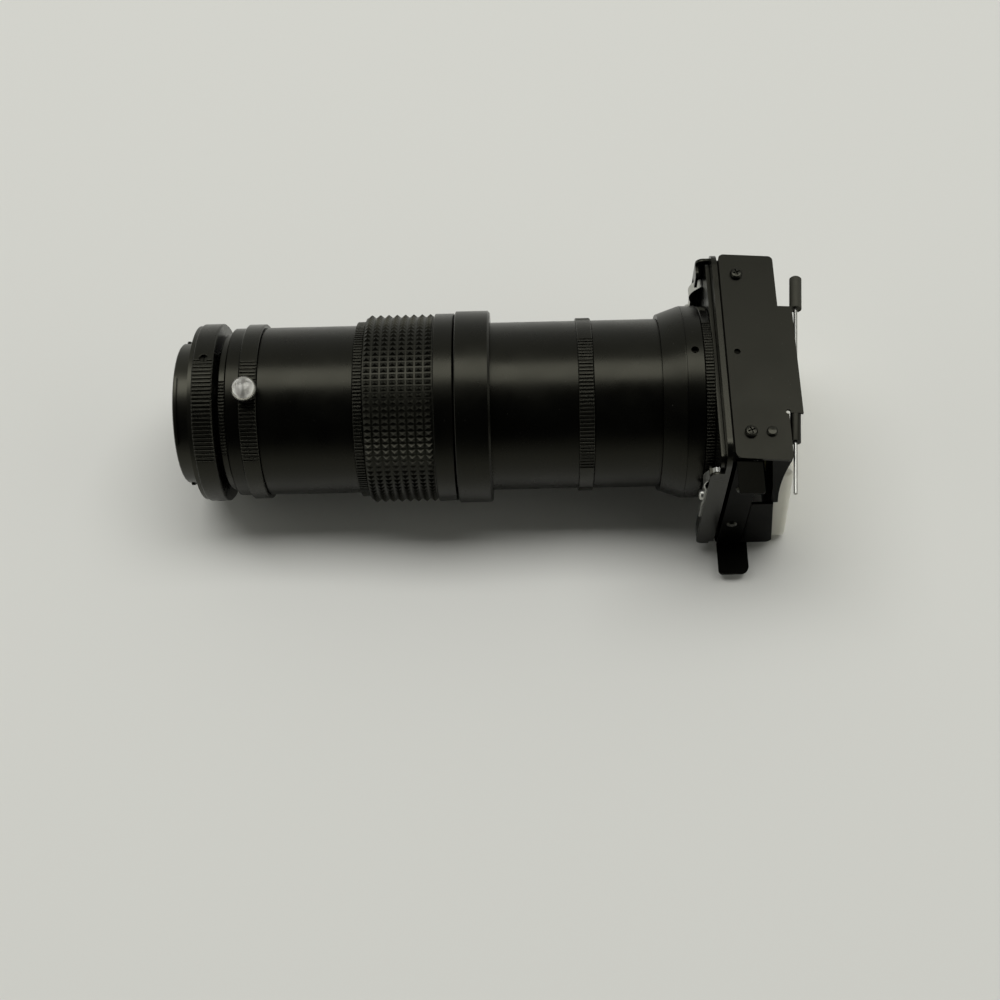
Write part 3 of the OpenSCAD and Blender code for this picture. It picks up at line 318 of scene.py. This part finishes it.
grip = bmesh.new()
upright = Matrix.Translation((grip_low.x, 0, 0)) @ Matrix.Rotation(math.radians(90), 4, "Y")
bmesh.ops.create_circle(grip, segments=stud_columns, radius=grip_root_r, matrix=upright)
ring = list(grip.edges)
for row in range(stud_rows):
    moved = bmesh.ops.extrude_edge_only(grip, edges=ring)["geom"]
    ring = [e for e in moved if isinstance(e, bmesh.types.BMEdge)]
    bmesh.ops.translate(grip, verts=corners_of(moved), vec=(row_length, 0, 0))
bmesh.ops.recalc_face_normals(grip, faces=grip.faces)
cells = list(grip.faces)
bmesh.ops.inset_individual(grip, faces=cells, thickness=valley_half, use_even_offset=True)
bmesh.ops.poke(grip, faces=cells, offset=stud_height)
lip_share = grip_bore_r / grip_root_r
for end_x in (grip_low.x, grip_high.x):
    rim = [e for e in grip.edges
           if e.is_boundary and abs(e.verts[0].co.x - end_x) < rim_reach]
    lip = bmesh.ops.extrude_edge_only(grip, edges=rim)["geom"]
    bmesh.ops.scale(grip, verts=corners_of(lip), vec=(1, lip_share, lip_share))
make_piece("studded_grip", grip, "zoom_grip_body", [rubber_grip], "zoom_grip")

# %% [markdown]
# ## The thumb screw
# Its head is turned from the bar, so its face shows two opposite fans of light, which
# come from a highlight stretched round the axis. The rim is knurled: every second corner
# of the first disc stands back. The disc is raised and narrowed in steps, which leaves a
# chamfer, a flat rim, a groove, the face and a small dimple. The groove's faces take the
# black screw finish as painted shade, for the shade that falls in the narrow groove.

# %% Thumb screw
turned_steel, tree = new_material("turned_steel_face")
around = add(tree, "ShaderNodeTangent", {"direction_type": "RADIAL", "axis": "Z"})
finish_with(tree, add(tree, "ShaderNodeBsdfPrincipled",
                      {"Base Color": linear("#d6d5cd"), "Metallic": 1, "Roughness": 0.3,
                       "Anisotropic": 0.8}, {"Tangent": (around, 0)}))

screw_low, screw_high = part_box("thumb_screw")
screw_x = (screw_low.x + screw_high.x) / 2
screw_turn = math.radians(106.5)        # the screw stands this far round from +Y towards +Z
screw_axis = Vector((0, math.cos(screw_turn), math.sin(screw_turn)))
head_r, head_t, chamfer = 4.35 * mm, 3.4 * mm, 0.5 * mm
head_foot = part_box("clamp_collar")[1].z + 1.6 * mm
knurls, knurl_depth = 40, 0.45 * mm
shank_r, shank_end = 1.5 * mm, 25.1 * mm
neck_r, neck_t = 2.4 * mm, 1.2 * mm
head_steps = ((3.5, 0), (3.45, -0.5), (2.9, 0), (2.85, 0.5), (0.7, 0), (0.5, -0.2))
painted_shade_groove_low_r, painted_shade_groove_high_r = 2.86 * mm, 3.49 * mm

thumb = bmesh.new()
stand = Matrix.Translation(Vector((screw_x, 0, 0)) + screw_axis * head_foot) \
    @ Matrix.Rotation(screw_turn - math.radians(90), 4, "X")
middle = stand.translation
foot = bmesh.ops.create_circle(thumb, cap_ends=True, segments=2 * knurls, radius=head_r,
                               matrix=stand)
for corner in foot["verts"][1::2]:
    corner.co = middle + (corner.co - middle) * (1 - knurl_depth / head_r)


def raised(faces, height):
    moved = bmesh.ops.extrude_face_region(thumb, geom=faces)["geom"]
    bmesh.ops.translate(thumb, verts=corners_of(moved), vec=screw_axis * height)
    return [f for f in moved if isinstance(f, bmesh.types.BMFace)]


def narrowed(faces, share=None, radius=0):
    corners = faces[0].verts
    centre = sum((v.co for v in corners), Vector()) / len(corners)
    for v in corners:
        out = v.co - centre
        v.co = centre + (out * share if share else out.normalized() * radius)


top = raised(list(thumb.faces), head_t - chamfer)
top = raised(top, chamfer)
narrowed(top, share=0.9)
for radius_mm, rise_mm in head_steps:
    top = raised(top, rise_mm * mm)
    narrowed(top, radius=radius_mm * mm)
# Painted shade: the groove's faces take the black screw finish, slot 1, for the shade in the narrow
# groove.
for face in thumb.faces:
    out = face.calc_center_median() - middle
    height = out.dot(screw_axis)
    if painted_shade_groove_low_r < (out - screw_axis * height).length < painted_shade_groove_high_r and height > head_t - mm:
        face.material_index = 1
for radius, depth in ((shank_r, head_foot - shank_end), (neck_r, neck_t)):
    bmesh.ops.create_cone(thumb, cap_ends=True, segments=32, radius1=radius, radius2=radius,
                          depth=depth, matrix=Matrix.Translation(-screw_axis * depth / 2) @ stand)
make_piece("knurled_thumb_screw", thumb, "thumb_screw_body",
           [turned_steel, oxide_screw], "thumb_screw")

# %% [markdown]
# ## Floor, light and camera
# The real object lies on a pale table under a window. A large soft lamp stands high
# behind it and lights the upper side of the barrel, and the side towards the camera
# stays dark, which shapes the cylinder. The object lies on its front collar and on the
# smaller ring of its adapter, so in the object's frame the table leans by a degree.

# %% Floor
floor_gap, floor_tilt = 0.03 * mm, math.radians(1.02)
floor_mesh = bpy.data.meshes.new("floor")
plane = bmesh.new()
bmesh.ops.create_grid(plane, x_segments=1, y_segments=1, size=4,
                      matrix=Matrix.Translation((0.097, 0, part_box("front_barrel")[0].z - floor_gap))
                      @ Matrix.Rotation(floor_tilt, 4, "Y"))
plane.to_mesh(floor_mesh)
plane.free()
floor = bpy.data.objects.new("floor", floor_mesh)
bpy.context.scene.collection.objects.link(floor)
table_top, tree = new_material("pale_table")
finish_with(tree, add(tree, "ShaderNodeBsdfPrincipled",
                      {"Base Color": linear("#d9d9d3"), "Roughness": 0.6,
                       "Specular IOR Level": 0.2}))
floor_mesh.materials.append(table_top)

# %% Lamp and world
# The room's far wall, its end walls and a band at the horizon glow, each by the direction.
window = bpy.data.lights.new("window", "AREA")
window.shape = "RECTANGLE"
window.size, window.size_y = 3.6, 1.1
window.energy = 55
holder = bpy.data.objects.new("window", window)
bpy.context.scene.collection.objects.link(holder)
holder.location = (0.1, 0.68, 2.32)
holder.rotation_euler = (Vector((0.1, 0, 0)) - holder.location).to_track_quat("-Z", "Y").to_euler()

world = bpy.data.worlds.new("room")
bpy.context.scene.world = world
world.use_nodes = True
world.node_tree.nodes.clear()
sky = world.node_tree
direction = add(sky, "ShaderNodeTexCoord")
way = add(sky, "ShaderNodeSeparateXYZ", links={"Vector": (direction, "Generated")})
sideways = add(sky, "ShaderNodeMath", {"operation": "ABSOLUTE"}, {0: (way, "X")})


def glow(source, start, end, low, high):
    return add(sky, "ShaderNodeMapRange", {"interpolation_type": "SMOOTHSTEP", "From Min": start,
                                           "From Max": end, "To Min": low, "To Max": high},
               {"Value": source})


far_wall = glow((way, "Y"), 0.3, 0.62, 0, 0.55)
horizon = glow((way, "Z"), 0.34, 0.02, 0.006, 0.28)
end_walls = glow((sideways, 0), 0.6, 0.9, 0, 1.0)
walls = add(sky, "ShaderNodeMath", {"operation": "MAXIMUM"}, {0: (far_wall, 0), 1: (horizon, 0)})
level = add(sky, "ShaderNodeMath", {"operation": "MAXIMUM"}, {0: (walls, 0), 1: (end_walls, 0)})
room_light = add(sky, "ShaderNodeBackground", {"Color": linear("#f7f8f2")},
                 {"Strength": (level, 0)})
add(sky, "ShaderNodeOutputWorld", links={"Surface": (room_light, 0)})

# %% Camera
camera_data = bpy.data.cameras.new("camera")
camera_data.sensor_width, camera_data.lens = 36, 54
camera = bpy.data.objects.new("camera", camera_data)
bpy.context.scene.collection.objects.link(camera)
yaw, pitch, roll = math.radians(-2.07), math.radians(64), math.radians(3.10)
look = Vector((math.sin(yaw) * math.cos(pitch), math.cos(yaw) * math.cos(pitch),
               -math.sin(pitch)))
side = Vector((math.cos(yaw), -math.sin(yaw), 0))
down = look.cross(side)
right_of_picture = math.cos(roll) * side + math.sin(roll) * down
down_of_picture = -math.sin(roll) * side + math.cos(roll) * down
turned_camera = Matrix((right_of_picture, -down_of_picture, -look)).transposed()
camera.matrix_world = Matrix.Translation((0.1141, -0.2671, 0.4710)) @ turned_camera.to_4x4()
bpy.context.scene.camera = camera
bpy.context.scene.view_settings.view_transform = "Standard"
